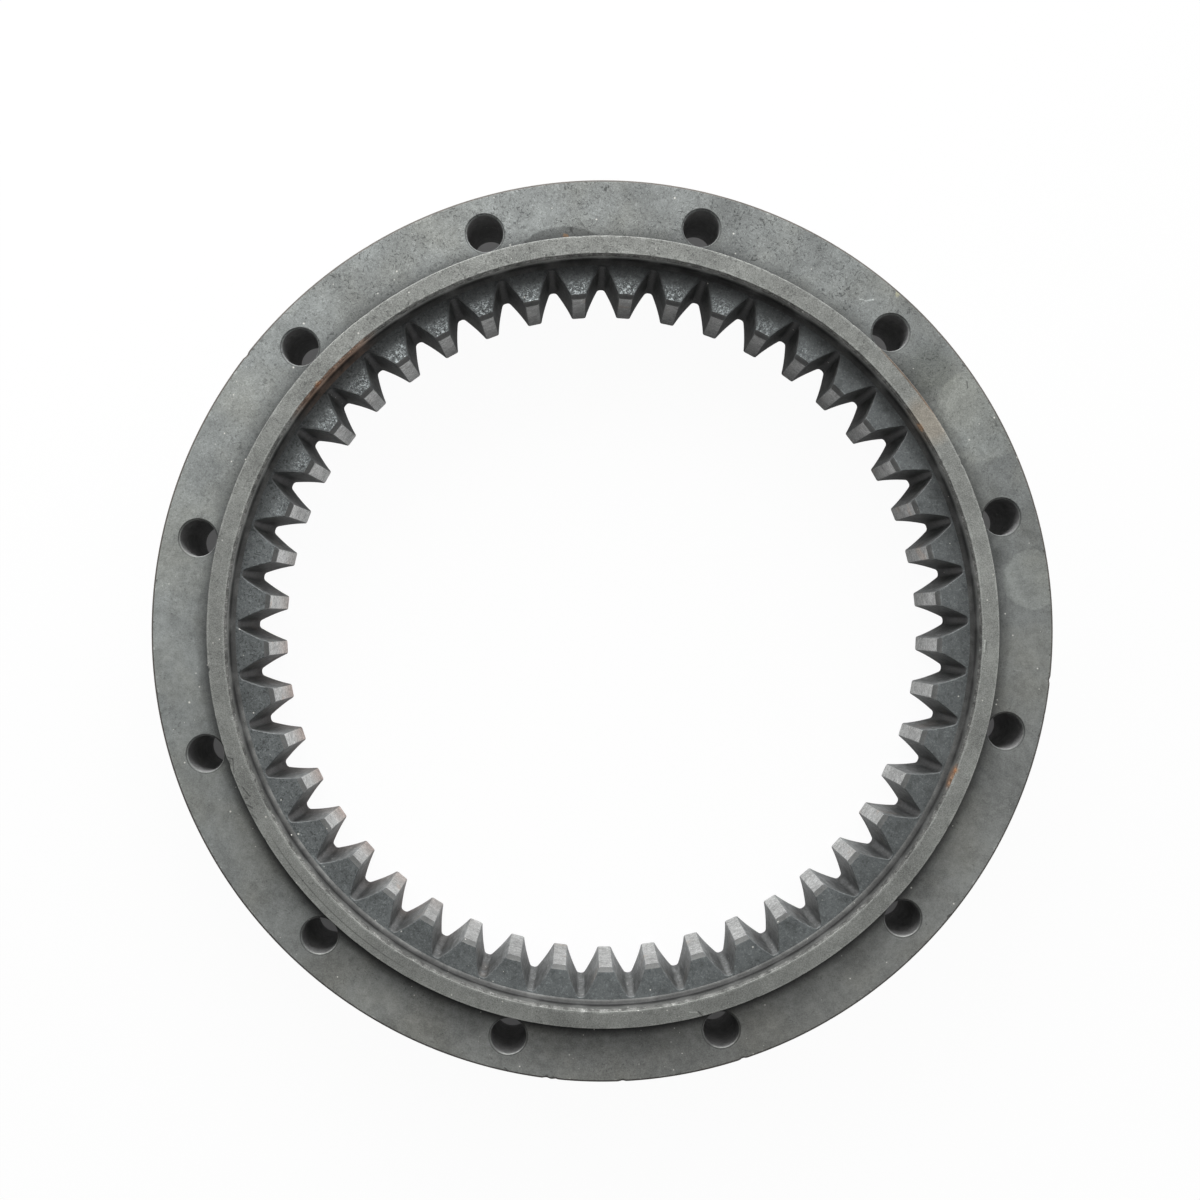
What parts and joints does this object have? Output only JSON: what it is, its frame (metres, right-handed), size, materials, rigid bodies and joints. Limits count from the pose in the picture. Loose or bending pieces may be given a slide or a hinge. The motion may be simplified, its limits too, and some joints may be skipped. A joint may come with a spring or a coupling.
{
  "type": "internal ring gear",
  "caption": "Internal spur ring gear for a planetary gearset, in one piece with a thick bolt flange and a raised locating spigot round the recess over the teeth.",
  "frame": {"origin": "on the gear axis, at the back face of the flange", "axes": "+Z along the gear axis from the back face to the spigot, +X through the centre of the bolt hole that lies nearly in line with a tooth space"},
  "size_m": [0.35, 0.35, 0.049],
  "materials": {
    "steel": "phosphated dark grey steel with stains, handling marks and brighter worn edges"
  },
  "bodies": {
    "root": {"ring_gear": "steel"}
  },
  "joints": []
}
